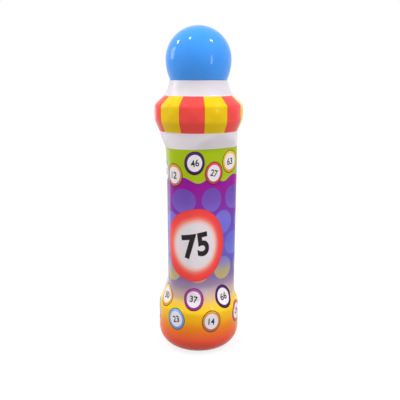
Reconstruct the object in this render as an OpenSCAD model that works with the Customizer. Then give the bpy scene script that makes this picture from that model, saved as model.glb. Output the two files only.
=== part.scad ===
// Bingo dauber: a squeeze bottle of ink with a spring valve, a dabbing pad and a screw cap.
// Units are millimetres, +Z is up, and the origin is the middle of the foot.

/* [Base] */
// Radius of the base
base_r = 21.05; // [19.5:0.05:22.5]
// Height of the straight part of the base, where the grip starts to draw in
base_h = 23.4; // [20:0.1:27]
// Radius of the rounded corner under the base
base_corner_r = 10; // [5:0.5:12]
// How much of the rounded corner the flat foot cuts away
foot_cut = 0.1; // [0.05:0.05:0.5]
// Radius of the push-up in the foot
pushup_r = 10.2; // [7:0.1:11]
// Height of the push-up
pushup_h = 2.5; // [1:0.1:4]
// How much narrower the push-up is at its top
pushup_taper = 2; // [0.5:0.1:3]

/* [Grip] */
// Number of flat sides that make the grip three-cornered
grip_sides = 3; // [3:1:4]
// Direction of the first flat side, from the front towards the right
flat_azimuth = 33; // [0:1:119]
// Height over which the corners draw in above the base
corner_flare_h = 6.2; // [4:0.1:9]
// Height over which the flat sides draw in above the base
flat_flare_h = 12.4; // [10:0.1:16]
// How much higher than its middle the draw-in of a flat side bends
flare_bow = 0.65; // [0.2:0.05:1]
// Radius at a grip corner, low on the grip
corner_low_r = 18.85; // [18:0.05:19.5]
// Distance of a flat side from the axis, low on the grip
flat_low_r = 16.1; // [15:0.05:17.5]
// Distance of a flat side from the axis at its waist
flat_waist_r = 16.25; // [15.2:0.05:17.5]
// Distance of a flat side from the axis, high on the grip
flat_high_r = 16.65; // [15.5:0.05:17.7]
// Radius of the bow across a flat side
flat_bow_r = 40; // [30:1:60]
// Height from the base to the waist
waist_rise = 66.6; // [50:0.1:70]
// Height from the waist to the band under the collar
grip_rise = 15; // [10:0.1:20]
// Height of the band under the collar, over which the flat sides run out
band_h = 8.7; // [7:0.1:12]

/* [Collar] */
// Radius at the collar's widest
collar_mid_r = 22.4; // [21.8:0.05:24]
// How much narrower the body is where the collar starts
collar_root_in = 2.65; // [2:0.05:3]
// How much narrower the collar is at the top of its lower slope
collar_low_in = 0.45; // [0.2:0.05:1]
// How much narrower the collar is at the foot of its upper slope
collar_high_in = 0.5; // [0.2:0.05:1]
// Radius where the collar ends
collar_top_r = 17.1; // [16:0.05:18]
// Height of the collar's lower slope
collar_low_h = 5.1; // [3:0.1:7]
// Height from the lower slope to the widest
collar_mid_h = 4; // [2:0.1:6]
// Height from the widest to the upper slope
collar_high_h = 4; // [2:0.1:6]
// Height of the collar's upper slope
collar_top_h = 4.5; // [3:0.1:7]
// Number of facets round the collar
collar_facets = 12; // [8:1:12]
// How deep the facets cut into the widest part
facet_cut = 0.5; // [0.2:0.05:0.7]
// Direction of a facet's corner, from the front towards the right
facet_azimuth = -5; // [-15:1:15]

/* [Shoulder] */
// Height of the bare shoulder above the collar
shoulder_h = 7.2; // [5:0.1:9]
// Radius at the top of the shoulder
shoulder_top_r = 14.5; // [14:0.05:15.5]
// Radius of the shoulder's hollow curve
shoulder_bow_r = 17.9; // [12:0.1:30]

/* [Bottle and neck] */
// Wall of the bottle
bottle_wall = 1.2; // [0.8:0.1:1.8]
// Radius of the neck between its threads
neck_r = 10.75; // [10.5:0.05:10.9]
// Wall of the neck
neck_wall = 1.3; // [1:0.1:1.5]
// Height of the neck above the shoulder
neck_h = 10.3; // [9.5:0.1:11.5]
// Height that a thread stands out from the neck
thread_h = 0.9; // [0.6:0.05:1]
// Width of a thread at its root
thread_root_w = 1.6; // [1:0.05:1.8]
// Width of a thread at its crest
thread_crest_w = 0.7; // [0.4:0.05:0.9]
// Rise of the thread in one turn
thread_lead = 7; // [6:0.1:7.5]
// Number of threads that start side by side
thread_starts = 2; // [1:1:2]
// Turns that each thread makes
thread_turns = 0.85; // [0.5:0.05:0.95]

/* [Sleeve and ink] */
// Thickness of the printed film
film_t = 0.1; // [0.05:0.01:0.2]
// Height of the sleeve's lower edge above the foot
sleeve_foot = 1.2; // [0.8:0.1:3]
// How far the ink's surface lies below the valve's cage
ink_drop = 17.2; // [10:0.1:60]

/* [Applicator] */
// Thickness of the gasket on the neck rim
gasket_t = 0.6; // [0.4:0.1:1]
// Thickness of the housing flange
flange_t = 1.2; // [0.8:0.1:1.6]
// Height of the cup above the flange
cup_rise = 2.6; // [2:0.1:3.4]
// Wall of the housing below the flange
plug_wall = 0.75; // [0.6:0.05:1]
// Wall of the cup above the flange
cup_wall = 1.1; // [0.8:0.05:1.2]
// Thickness of the cup's floor and of the valve seat
floor_t = 1.3; // [0.9:0.1:1.6]
// Height of the chamber between the cup's floor and the valve seat
chamber_h = 3.3; // [2:0.1:4]
// Radius of the hole in the valve seat
seat_hole_r = 3.4; // [2.8:0.1:3.8]
// Number of ink windows in the cup's floor
windows = 6; // [3:1:7]
// Radius of an ink window
window_r = 1.2; // [0.6:0.1:1.4]
// Thickness of the retainer ring's lip
lip_t = 0.9; // [0.6:0.1:1.2]
// How far the lip reaches over the pad
lip_reach = 0.5; // [0.35:0.05:0.6]

/* [Pad] */
// Travel of the pad when it is pressed
stroke = 2.5; // [1:0.1:3]
// Thickness of the knitted cover
cover_t = 0.3; // [0.2:0.05:0.4]
// Thickness of the pad's rim under the lip
pad_rim_h = 2; // [1.5:0.1:2.6]
// Height of the pad's straight side above the rim
pad_side_h = 2.3; // [1.5:0.1:2.6]
// Height of the pad's crown
crown_h = 3.6; // [2.5:0.1:4]

/* [Valve] */
// Thickness of the pad plate
plate_t = 1.4; // [1:0.1:1.8]
// Number of holes in the outer ring of the pad plate
plate_holes = 10; // [6:1:12]
// Radius of a hole in the pad plate
plate_hole_r = 0.8; // [0.5:0.05:1]
// Radius of the stem
stem_r = 1.8; // [1.5:0.05:2.1]
// Radius of the stem's end in the poppet
spigot_r = 1.2; // [0.9:0.05:1.3]
// Radius of the poppet
poppet_r = 4.6; // [4.2:0.05:4.9]
// Thickness of the poppet
poppet_t = 1.4; // [1:0.1:2]
// Height of the poppet's hub
hub_h = 1.2; // [0.6:0.1:1.6]
// Radius of the poppet's hub
hub_r = 2.3; // [1.9:0.05:2.5]
// Thickness of the valve seal
seal_t = 0.6; // [0.4:0.05:0.9]
// Height of the room for the spring under the poppet
spring_room = 8.2; // [6.5:0.1:10]
// Radius of the spring's coil, to the middle of the wire
coil_r = 3.3; // [3:0.05:3.6]
// Thickness of the spring's wire
wire_d = 0.5; // [0.4:0.05:0.6]
// Number of turns in the spring
coil_turns = 5; // [3:1:6]
// Inner radius of the spring cage
cage_r = 5.4; // [5.2:0.05:5.8]
// Wall of the spring cage
cage_wall = 1; // [0.8:0.1:1.3]
// Number of slots in the spring cage
cage_slots = 4; // [2:1:6]
// Width of a slot in the spring cage
slot_w = 2.6; // [1.5:0.1:3]

/* [Cap] */
// Radius of the ball
ball_r = 16.3; // [16:0.05:17.5]
// Height of the ball's middle above the cap's rim
ball_rise = 9.7; // [9:0.1:11]
// Radius of the cap's rim
cap_rim_r = 14.25; // [14.1:0.05:14.8]
// Wall of the ball
ball_wall = 1.1; // [0.8:0.05:1.2]
// Wall of the threaded liner
liner_wall = 0.9; // [0.7:0.05:1]
// Thickness of the liner's ledge over the cap seal
ledge_t = 1.2; // [0.8:0.1:1.4]
// Thickness of the liner's dome over the pad
dome_t = 1.1; // [0.8:0.1:1.3]
// Thickness of the cap seal
cap_seal_t = 1; // [0.6:0.1:1.2]
// Number of ribs in the cap, which cross in pairs
ribs = 8; // [4:2:12]
// Thickness of a rib
rib_t = 1.2; // [0.8:0.1:1.6]

/* [Hidden] */
// Gaps: shells that fit over each other, flat faces, guides, and pieces that pass each other
skin_fit = 0.05;
face_gap = 0.1;
guide_fit = 0.1;
slack = 0.3;
thread_gap = 0.25;
wide_gap = 0.7;
// How far a cut runs past the surface that it opens
over = 1;
// How deep a thread's root is sunk into its wall
root_sink = 0.35;
// Sides of a round, points on a full circle of an outline, and steps in a turn of thread or wire
$fn = 96;
outline_steps = 48;
thread_steps = 24;
coil_steps = 12;
wire_sides = 6;
// Part of a thread's length over which each end runs out
thread_runout_share = 0.08;
// Strips on each side of a flat side's middle, and the turn from one to the next
side_strips = 2;
strip_angle = 13;
// How much higher the first strip beside a flat side's middle bends
strip_lift = 0.4;
// Part of a flat side's flare at which it bows in
flare_mid_share = 0.4;

// Heights of the outside, from the foot up, and the collar's radii
corner_flare_z = base_h + corner_flare_h;
flat_flare_z = base_h + flat_flare_h;
waist_z = base_h + waist_rise;
band_z = waist_z + grip_rise;
collar_z = band_z + band_h;
collar_low_z = collar_z + collar_low_h;
collar_mid_z = collar_low_z + collar_mid_h;
collar_high_z = collar_mid_z + collar_high_h;
collar_top_z = collar_high_z + collar_top_h;
shoulder_z = collar_top_z + shoulder_h;
neck_z = shoulder_z + neck_h;
collar_root_r = collar_mid_r - collar_root_in;
collar_low_r = collar_mid_r - collar_low_in;
collar_high_r = collar_mid_r - collar_high_in;
body_wide_r = max(base_r, collar_mid_r);

// Neck and housing
bore_r = neck_r - neck_wall;
flange_r = neck_r - guide_fit;
plug_r = bore_r - guide_fit;
cup_r = plug_r - plug_wall;
upstand_r = cup_r + cup_wall;
flange_z = neck_z + gasket_t;
flange_top = flange_z + flange_t;
cup_top = flange_top + cup_rise;
lip_z = cup_top + face_gap;
ring_top = lip_z + lip_t;
lip_r = cup_r - lip_reach;

// Pad: its cover, its foam and the plate under it
pad_rim_top = lip_z - slack;
cover_r = cup_r - slack;
foam_rim_r = cover_r - cover_t - skin_fit;
foam_rim_top = pad_rim_top - cover_t - skin_fit;
foam_z = foam_rim_top - pad_rim_h;
plate_top = foam_z - skin_fit;
plate_z = plate_top - plate_t;
tip_r = lip_r - slack;
foam_r = tip_r - cover_t - skin_fit;
crown_z = foam_rim_top + pad_side_h;
crown_r = (foam_r * foam_r + crown_h * crown_h) / (2 * crown_h);
crown_mid = crown_z + crown_h - crown_r;
cover_crown_r = crown_r + skin_fit + cover_t;

// Valve, from the cup's floor down
floor_top = plate_z - stroke - slack;
floor_z = floor_top - floor_t;
seat_top = floor_z - chamber_h;
seat_z = seat_top - floor_t;
seal_top = seat_z - face_gap;
seal_z = seal_top - seal_t;
seal_r = poppet_r - guide_fit;
poppet_z = seal_z - poppet_t;
cage_floor_top = poppet_z - spring_room;
cage_z = cage_floor_top - cage_wall;
cage_flange_r = cup_r - skin_fit;
ink_level = cage_z - ink_drop;
spring_low = cage_floor_top + face_gap + wire_d / 2;
spring_high = poppet_z - face_gap - wire_d / 2;

// Cap
cap_z = shoulder_z + slack;
ball_z = cap_z + ball_rise;
rim_inset = ball_r - cap_rim_r;
skirt_r = (rim_inset * rim_inset + ball_rise * ball_rise) / (2 * rim_inset);
liner_root_r = neck_r + thread_h + thread_gap;
liner_crest_r = neck_r + thread_gap;
liner_r = liner_root_r + liner_wall;
liner_z = cap_z + face_gap;
liner_bore_r = flange_r + slack;
liner_bore_z = neck_z + gasket_t;
cap_seal_z = ring_top + face_gap;
ledge_z = cap_seal_z + cap_seal_t + face_gap;
dome_r = cover_crown_r + wide_gap;

// Threads rise from just above the shoulder
thread_rise = thread_lead * thread_turns;
thread_z = shoulder_z + (neck_h - thread_rise) / 2;
thread_pitch = thread_lead / thread_starts;

// Points on an arc round a middle, from one angle to another
function arc(middle, r, from, to) =
    let (steps = max(2, ceil(outline_steps * abs(to - from) / 360)))
    [for (i = [0:steps]) let (a = from + (to - from) * i / steps) middle + r * [cos(a), sin(a)]];

// Middle of the circle of radius r that passes through two points, on the outer side of the line
function arc_middle(low, high, r) =
    let (half = (high - low) / 2, d = norm(half), out = [half.y, -half.x] / d)
    (low + high) / 2 + out * sqrt(r * r - d * d);

// Half outline of the body at the grip's corners, moved outwards by grow
function body_outline(grow) =
    let (
        corner_mid = [base_r - base_corner_r, base_corner_r - foot_cut],
        corner_r = base_corner_r + grow,
        foot_angle = acos((corner_mid.y + grow) / corner_r),
        low = [collar_top_r, collar_top_z],
        high = [shoulder_top_r, shoulder_z],
        bow_mid = arc_middle(low, high, shoulder_bow_r),
        bow_low = atan2(low.y - bow_mid.y, low.x - bow_mid.x),
        bow_high = atan2(high.y - bow_mid.y, high.x - bow_mid.x),
        bow_turn = bow_high < bow_low ? 0 : -360
    )
    concat(
        [[0, -grow]],
        arc(corner_mid, corner_r, foot_angle - 90, 0),
        [
            [base_r + grow, base_h],
            [corner_low_r + grow, corner_flare_z],
            [collar_root_r + grow, collar_z],
            [collar_low_r + grow, collar_low_z],
            [collar_mid_r + grow, collar_mid_z],
            [collar_high_r + grow, collar_high_z]
        ],
        [for (p = arc(bow_mid, shoulder_bow_r, bow_low, bow_high + bow_turn)) p + [grow, 0]],
        [[0, shoulder_z]]
    );

// Outline that one upright strip of a flat side keeps, seen along the side, moved outwards by out.
// Its bends lie higher by lift, so that the edge of the flat side curves up from its middle.
function side_outline(out, lift) =
    let (
        far = 2 * body_wide_r,
        flare_mid = base_r - (base_r - flat_low_r) * flare_mid_share - flare_bow,
        flare_mid_z = base_h + flat_flare_h * flare_mid_share,
        low_slope = (flare_mid_z - base_h) / (base_r + film_t - flare_mid)
    )
    [
        [-far, -over],
        [far, -over],
        [far, flare_mid_z + lift - (far - out - flare_mid) * low_slope],
        [flare_mid + out, flare_mid_z + lift],
        [flat_low_r + out, flat_flare_z + lift],
        [flat_waist_r + out, waist_z + lift],
        [flat_high_r + out, band_z + lift],
        [collar_root_r + film_t + out, collar_z],
        [far, collar_z + over],
        [far, shoulder_z + over],
        [-far, shoulder_z + over]
    ];

// The whole body as one solid: a turned form with three flat sides and a faceted collar.
// Each flat side is bowed, and made of upright strips that lie along the bow.
module body_form(grow) {
    facet_r = (collar_mid_r - facet_cut + grow) / cos(180 / collar_facets);
    back = flat_bow_r - flat_low_r;
    intersection() {
        difference() {
            rotate_extrude() polygon(body_outline(grow));
            translate([0, 0, collar_z])
                linear_extrude(collar_top_z - collar_z) difference() {
                    circle(body_wide_r + over);
                    rotate(facet_azimuth - 90) circle(facet_r, $fn = collar_facets);
                }
        }
        intersection_for(i = [0:grip_sides - 1])
            rotate([0, 0, flat_azimuth - 90 + i * 360 / grip_sides])
                intersection_for(k = [-side_strips:side_strips])
                    rotate([0, 0, k * strip_angle]) rotate([90, 0, 0])
                        linear_extrude(4 * body_wide_r, center = true) polygon(
                            side_outline(grow + back * (1 - cos(k * strip_angle)), k * k * strip_lift));
    }
}

// A turned ring or disc between two radii
module ring(outer, inner, low, high) {
    difference() {
        translate([0, 0, low]) cylinder(r = outer, h = high - low);
        translate([0, 0, low - over]) cylinder(r = inner, h = high - low + 2 * over);
    }
}

// A row of round holes on a circle
module hole_ring(count, circle_r, hole_r, low, high) {
    for (i = [0:count - 1])
        rotate([0, 0, i * 360 / count])
            translate([circle_r, 0, low - over])
                cylinder(r = hole_r, h = high - low + 2 * over);
}

// A tube or bar through a list of cross-sections, each with the same number of corners
module swept(sections) {
    count = len(sections);
    sides = len(sections[0]);
    points = [for (s = sections) each s];
    walls = [
        for (i = [0:count - 2], j = [0:sides - 1])
            let (a = i * sides + j, b = i * sides + (j + 1) % sides)
            each [[a, b, b + sides], [a, b + sides, a + sides]]
    ];
    last = (count - 1) * sides;
    ends = [for (j = [1:sides - 2]) each [[0, j + 1, j], [last, last + j, last + j + 1]]];
    polyhedron(points = points, faces = concat(walls, ends));
}

// One screw thread, from a root radius inside the wall to its crest, that runs out at both ends
module thread_ridge(root_r, crest_r, low) {
    steps = ceil(thread_steps * thread_turns);
    flip = crest_r > root_r ? 1 : -1;
    sunk_r = root_r - flip * root_sink;
    swept([
        for (i = [0:steps])
            let (
                t = i / steps,
                runout = min(1, t / thread_runout_share, (1 - t) / thread_runout_share),
                top_r = sunk_r + (crest_r - sunk_r) * max(runout, root_sink / (root_sink + thread_h) / 2),
                a = 360 * thread_turns * t,
                z = low + thread_rise * t,
                root = thread_root_w / 2,
                crest = thread_crest_w / 2,
                out = [cos(a), sin(a)],
                corners = [[sunk_r, -root], [sunk_r, root], [top_r, crest], [top_r, -crest]],
                turned = flip < 0 ? corners : [for (k = [3:-1:0]) corners[k]]
            )
            [for (c = turned) [c.x * out.x, c.x * out.y, z + c.y]]
    ]);
}

module threads(root_r, crest_r, low) {
    for (i = [0:thread_starts - 1])
        rotate([0, 0, i * 360 / thread_starts]) thread_ridge(root_r, crest_r, low);
}

// Push-up in the foot, drawn out by grow
module pushup(grow) {
    wide_r = pushup_r + grow + pushup_taper * over / pushup_h;
    translate([0, 0, -over])
        cylinder(r1 = wide_r, r2 = pushup_r + grow - pushup_taper, h = pushup_h + grow + over);
}

// Panel on the outside of the bottle, in which the sleeve lies
module panel() {
    low = sleeve_foot - face_gap;
    high = collar_top_z + face_gap;
    intersection() {
        translate([0, 0, low]) cylinder(r = body_wide_r + over, h = high - low);
        difference() {
            cylinder(r = body_wide_r + 2 * over, h = shoulder_z);
            body_form(-film_t - skin_fit);
        }
    }
}

module bottle() {
    mouth_z = shoulder_z - 2 * bottle_wall;
    color("white") difference() {
        union() {
            difference() {
                body_form(0);
                panel();
            }
            cylinder(r = neck_r, h = neck_z);
            threads(neck_r, neck_r + thread_h, thread_z);
        }
        bottle_room(0);
        pushup(0);
        translate([0, 0, mouth_z]) cylinder(r = bore_r, h = neck_z + over - mouth_z);
    }
}

// Room inside the bottle, drawn in by a clearance
module bottle_room(clear) {
    inset = film_t + bottle_wall + clear;
    roof_z = shoulder_z - bottle_wall - clear;
    difference() {
        body_form(-inset);
        pushup(inset);
        translate([0, 0, roof_z]) cylinder(r = body_wide_r, h = shoulder_z + over - roof_z);
    }
}

module shrink_sleeve() {
    color("gold") intersection() {
        translate([0, 0, sleeve_foot])
            cylinder(r = body_wide_r + over, h = collar_top_z - sleeve_foot);
        difference() {
            body_form(0);
            body_form(-film_t);
        }
    }
}

module ink_fill() {
    color("royalblue") intersection() {
        bottle_room(face_gap);
        cylinder(r = body_wide_r, h = ink_level);
    }
}

module applicator_housing() {
    color("whitesmoke") difference() {
        union() {
            translate([0, 0, seat_z - cage_wall]) cylinder(r = plug_r, h = cup_top - seat_z + cage_wall);
            translate([0, 0, flange_z]) cylinder(r = flange_r, h = flange_t);
            translate([0, 0, flange_top]) cylinder(r = upstand_r, h = cup_rise);
        }
        translate([0, 0, floor_top]) cylinder(r = cup_r, h = cup_top - floor_top + over);
        translate([0, 0, seat_top]) cylinder(r = cup_r, h = chamber_h);
        translate([0, 0, seat_top - floor_t - over]) cylinder(r = seat_hole_r, h = floor_t + 2 * over);
        translate([0, 0, seat_z - cage_wall - over]) cylinder(r = cup_r, h = cage_wall + over);
        translate([0, 0, floor_z - over]) cylinder(r = stem_r + guide_fit, h = floor_t + 2 * over);
        hole_ring(windows, (cup_r + stem_r) / 2, window_r, floor_z, floor_top);
    }
}

module neck_gasket() {
    color("dimgray") ring(flange_r, bore_r, neck_z, flange_z);
}

module retainer_ring() {
    color("white") difference() {
        ring(flange_r, lip_r, flange_top + face_gap, ring_top);
        translate([0, 0, flange_top]) cylinder(r = upstand_r + skin_fit, h = lip_z - flange_top);
    }
}

module spring_cage() {
    slot_low = cage_floor_top + cage_wall;
    slot_high = seat_z - 2 * cage_wall;
    slot_out = cage_r + 2 * cage_wall;
    color("gainsboro") difference() {
        union() {
            translate([0, 0, cage_z]) cylinder(r = cage_r + cage_wall, h = seat_z - cage_z);
            translate([0, 0, seat_z - cage_wall]) cylinder(r = cage_flange_r, h = cage_wall);
        }
        translate([0, 0, cage_floor_top]) cylinder(r = cage_r, h = seat_z - cage_floor_top + over);
        translate([0, 0, cage_z - over]) cylinder(r = hub_r, h = cage_wall + 2 * over);
        for (i = [0:cage_slots - 1])
            rotate([0, 0, i * 360 / cage_slots])
                translate([0, -slot_w / 2, slot_low])
                    cube([slot_out, slot_w, slot_high - slot_low]);
    }
}

// Points on the wire's middle line
function coil_point(t) = [coil_r * cos(360 * coil_turns * t), coil_r * sin(360 * coil_turns * t),
    spring_low + (spring_high - spring_low) * t];

module valve_spring() {
    steps = coil_steps * coil_turns;
    slope = atan2(spring_high - spring_low, 2 * PI * coil_r * coil_turns);
    color("silver") swept([
        for (i = [0:steps])
            let (
                p = coil_point(i / steps),
                a = 360 * coil_turns * i / steps,
                out = [cos(a), sin(a), 0],
                up = [sin(a) * sin(slope), -cos(a) * sin(slope), cos(slope)]
            )
            [for (j = [0:wire_sides - 1])
                let (b = 360 * j / wire_sides) p + wire_d / 2 * (cos(b) * out + sin(b) * up)]
    ]);
}

// Least gap between neighbouring turns of the spring, measured on its points
spring_gap = min([
    for (i = [0:coil_steps * (coil_turns - 1)], j = [-2:2])
        let (steps = coil_steps * coil_turns, next = min(1, (i + j + coil_steps) / steps))
        norm(coil_point(i / steps) - coil_point(next))
]) - wire_d;
echo(spring_gap = spring_gap);

module plunger() {
    color("ghostwhite") difference() {
        union() {
            translate([0, 0, plate_z]) cylinder(r = foam_rim_r, h = plate_t);
            translate([0, 0, seal_z]) cylinder(r = stem_r, h = plate_z - seal_z + plate_t / 2);
            translate([0, 0, poppet_z - hub_h]) cylinder(r = spigot_r, h = hub_h + poppet_t + seal_t);
        }
        hole_ring(plate_holes, foam_rim_r - 2 * plate_hole_r, plate_hole_r, plate_z, plate_top);
        hole_ring(plate_holes / 2, foam_rim_r / 2, plate_hole_r, plate_z, plate_top);
    }
}

module poppet() {
    color("gainsboro") difference() {
        union() {
            translate([0, 0, poppet_z]) cylinder(r = poppet_r, h = poppet_t);
            translate([0, 0, poppet_z - hub_h]) cylinder(r = hub_r, h = hub_h + poppet_t / 2);
        }
        translate([0, 0, poppet_z - hub_h - over])
            cylinder(r = spigot_r + skin_fit, h = hub_h + poppet_t + 2 * over);
    }
}

module valve_seal() {
    color("dimgray") ring(seal_r, stem_r + skin_fit, seal_z, seal_top);
}

// Pad form: a rim, a straight side and a crown, drawn out by grow
module pad_form(grow, low) {
    intersection() {
        union() {
            translate([0, 0, low]) cylinder(r = foam_rim_r + grow, h = foam_rim_top + grow - low);
            translate([0, 0, low]) cylinder(r = foam_r + grow, h = crown_z + crown_h + 2 * grow - low);
        }
        translate([0, 0, crown_mid]) sphere(r = crown_r + grow);
    }
}

module sponge_pad() {
    color("ivory") pad_form(0, foam_z);
}

module mesh_cover() {
    color("linen") difference() {
        pad_form(skin_fit + cover_t, plate_z);
        pad_form(skin_fit, plate_z - over);
    }
}

module cap_seal() {
    color("lightgray") ring(flange_r, lip_r, cap_seal_z, cap_seal_z + cap_seal_t);
}

// The ball as one solid: round above its middle, fuller below it down to the rim
module ball_form(inset) {
    translate([0, 0, ball_z]) rotate_extrude() {
        intersection() {
            circle(ball_r - inset);
            square(ball_r + over);
        }
        intersection() {
            translate([ball_r - skirt_r, 0]) circle(skirt_r - inset);
            translate([0, -ball_rise]) square([ball_r + over, ball_rise]);
        }
    }
}

module cap_shell() {
    color("dodgerblue") difference() {
        ball_form(0);
        ball_form(ball_wall);
    }
}

module cap_insert() {
    color("aliceblue") difference() {
        union() {
            translate([0, 0, liner_z]) cylinder(r = liner_r, h = liner_bore_z - liner_z + ledge_t);
            translate([0, 0, liner_z])
                cylinder(r = liner_bore_r + liner_wall, h = ledge_z + ledge_t - liner_z);
            intersection() {
                translate([0, 0, crown_mid]) sphere(r = dome_r + dome_t);
                translate([0, 0, ledge_z]) cylinder(r = dome_r + dome_t, h = dome_r + dome_t);
            }
            intersection() {
                ball_form(ball_wall + guide_fit);
                for (i = [0:ribs / 2 - 1])
                    rotate([0, 0, (i + 0.5) * 360 / ribs]) translate([-ball_r, -rib_t / 2, thread_z])
                        cube([2 * ball_r, rib_t, 2 * ball_r]);
            }
        }
        difference() {
            translate([0, 0, liner_z - over]) cylinder(r = liner_root_r, h = liner_bore_z - liner_z + over);
            threads(liner_root_r, liner_crest_r, thread_z - thread_pitch / 2);
        }
        translate([0, 0, liner_bore_z - over]) cylinder(r = liner_bore_r, h = ledge_z - liner_bore_z + over);
        translate([0, 0, ledge_z - over]) cylinder(r = lip_r, h = ledge_t + over);
        translate([0, 0, crown_mid]) sphere(r = dome_r);
    }
}

bottle();
shrink_sleeve();
ink_fill();
applicator_housing();
neck_gasket();
retainer_ring();
spring_cage();
valve_spring();
plunger();
poppet();
valve_seal();
sponge_pad();
mesh_cover();
cap_seal();
cap_shell();
cap_insert();
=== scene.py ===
# %% [markdown]
# A bingo dauber is a squeeze bottle of ink with a foam tip. A shrink film carries its print, and a
# round screw cap keeps the tip wet. The frame that this script loads holds every rigid piece at its
# real size. Each cell below gives a piece its surface, or models again one that shows, such as the
# bottle, its film, the ball cap and the soft tip.
#
# Everything is in metres, so sizes in millimetres are multiplied by MM. +Z is up, the foot stands at
# z = 0, and the front looks along -Y.

import math

import bmesh
import bpy
import numpy as np
from mathutils import Matrix, Vector, noise
from mathutils.bvhtree import BVHTree


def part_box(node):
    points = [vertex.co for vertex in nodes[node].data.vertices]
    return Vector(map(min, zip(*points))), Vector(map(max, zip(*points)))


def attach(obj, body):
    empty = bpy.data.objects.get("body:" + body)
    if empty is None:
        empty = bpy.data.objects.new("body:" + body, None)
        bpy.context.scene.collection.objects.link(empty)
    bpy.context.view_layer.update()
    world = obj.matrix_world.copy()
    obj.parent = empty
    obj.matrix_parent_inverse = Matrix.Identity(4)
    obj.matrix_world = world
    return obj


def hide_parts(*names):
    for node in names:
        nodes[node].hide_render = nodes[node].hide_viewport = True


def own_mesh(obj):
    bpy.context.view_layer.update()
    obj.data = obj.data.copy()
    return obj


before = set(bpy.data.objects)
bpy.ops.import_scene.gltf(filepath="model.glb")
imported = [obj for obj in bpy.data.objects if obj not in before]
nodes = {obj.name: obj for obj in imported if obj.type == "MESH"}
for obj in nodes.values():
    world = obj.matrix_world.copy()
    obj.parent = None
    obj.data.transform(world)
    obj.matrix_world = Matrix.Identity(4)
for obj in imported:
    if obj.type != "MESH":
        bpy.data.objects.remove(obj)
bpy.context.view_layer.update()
MM = 0.001

# %% [markdown]
# The camera comes first, because it decides what is worth modelling. The photograph was taken from
# about thirty centimetres away, level with the shoulder of the bottle and looking slightly down, so
# the rings of the print curve downwards and the collar looms over the foot.

# %% Camera
CAMERA_PLACE = (0.0007, -0.297, 0.141)
CAMERA_PITCH = 12.03
CAMERA_LENS = 52.8
CAMERA_SENSOR = 36
NEAREST_SEEN = 0.01

camera = bpy.data.objects.new("camera", bpy.data.cameras.new("camera"))
bpy.context.scene.collection.objects.link(camera)
camera.location = CAMERA_PLACE
camera.rotation_euler = (math.radians(90 - CAMERA_PITCH), 0, 0)
camera.data.lens = CAMERA_LENS
camera.data.sensor_width = CAMERA_SENSOR
camera.data.clip_start = NEAREST_SEEN
bpy.context.scene.camera = camera
print("camera pitch:", CAMERA_PITCH, "degrees")

# %% [markdown]
# Three helpers serve every material. The first turns the sRGB values of a colour picker into the
# linear light that Blender works in. The next adds a node, sets it, and joins each input to a value
# or to the socket that feeds it. A colour ramp gets its stops in the same call, as pairs of a place
# and a colour. The last starts an empty material.
#
# Inputs go by name or by number. In a Map Range, 0 is the value, 1 and 2 are the range it comes from,
# 0 to 1 if left out, and 3 and 4 the range it goes to. In a Mix of colours, 0 is the share, and 6 and
# 7 are the two colours.


# %% Colour and node helpers
def linear(code):
    """sRGB hex such as #4f9ffb, as linear red, green, blue and a full alpha."""
    parts = [int(code[i : i + 2], 16) / 255 for i in (1, 3, 5)]
    light = [p / 12.92 if p <= 0.04045 else ((p + 0.055) / 1.055) ** 2.4 for p in parts]
    return (*light, 1)


def add(tree, kind, settings=None, inputs=None, stops=()):
    """A new node, set and linked. Returns the first output that it uses."""
    made = tree.nodes.new("ShaderNode" + kind)
    for name, value in (settings or {}).items():
        setattr(made, name, value)
    for name, value in (inputs or {}).items():
        if isinstance(value, bpy.types.NodeSocket):
            tree.links.new(value, made.inputs[name])
        else:
            made.inputs[name].default_value = value
    for i, (place, code) in enumerate(stops):
        ramp = made.color_ramp.elements
        stop = ramp[i] if i < 2 else ramp.new(place)
        stop.position = place
        stop.color = linear(code)
    return next((socket for socket in made.outputs if socket.enabled), None)


def new_material(name):
    """An empty node material, and the tree to build it in."""
    made = bpy.data.materials.new(name)
    made.use_nodes = True
    made.node_tree.nodes.clear()
    return made, made.node_tree


print("white in linear light:", linear("#ffffff")[0])

# %% [markdown]
# Moulded plastics share one recipe. The colour drifts by a few percent over some millimetres, as
# pigment never mixes evenly, the gloss varies by a fifth, and a faint bump stands for the polish marks
# of the mould. Real marks are hundredths of a millimetre wide, too fine to show from here, so they
# are drawn coarser. A picture of a plastic could be wrapped around each piece instead, but noise on
# the piece's own coordinates needs no seam and no file.

# %% Recipe for moulded pieces
DRIFT = 6 * MM
GLOSS_SPREAD = 0.2
PLASTIC_IOR = 1.5
RGBA = {"data_type": "RGBA"}


def moulded(name, colours, roughness, marks_mm, marks_deep_mm, **more):
    """A moulded finish: two colours it drifts between, its gloss, and its marks' size and depth."""
    made, tree = new_material(name)
    place = add(tree, "TexCoord").node.outputs["Object"]
    drift = add(tree, "TexNoise", None, {"Vector": place, "Scale": 1 / DRIFT, "Detail": 3.0})
    two_tones = {0: drift, 6: linear(colours[0]), 7: linear(colours[1])}
    colour = add(tree, "Mix", RGBA, two_tones)
    mark_size = {"Vector": place, "Scale": 1 / (marks_mm * MM), "Detail": 1.0}
    marks = add(tree, "TexNoise", None, mark_size)
    dull, shiny = roughness * (1 + GLOSS_SPREAD), roughness * (1 - GLOSS_SPREAD)
    gloss = add(tree, "MapRange", None, {0: marks, 3: shiny, 4: dull})
    bump = add(tree, "Bump", None, {"Height": marks, "Distance": marks_deep_mm * MM})
    surface = {"Base Color": colour, "Roughness": gloss, "Normal": bump, "IOR": PLASTIC_IOR}
    shader = add(tree, "BsdfPrincipled", None, {**surface, **more})
    add(tree, "OutputMaterial", None, {"Surface": shader})
    return made


print("colour drifts over", DRIFT / MM, "mm")

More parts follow.
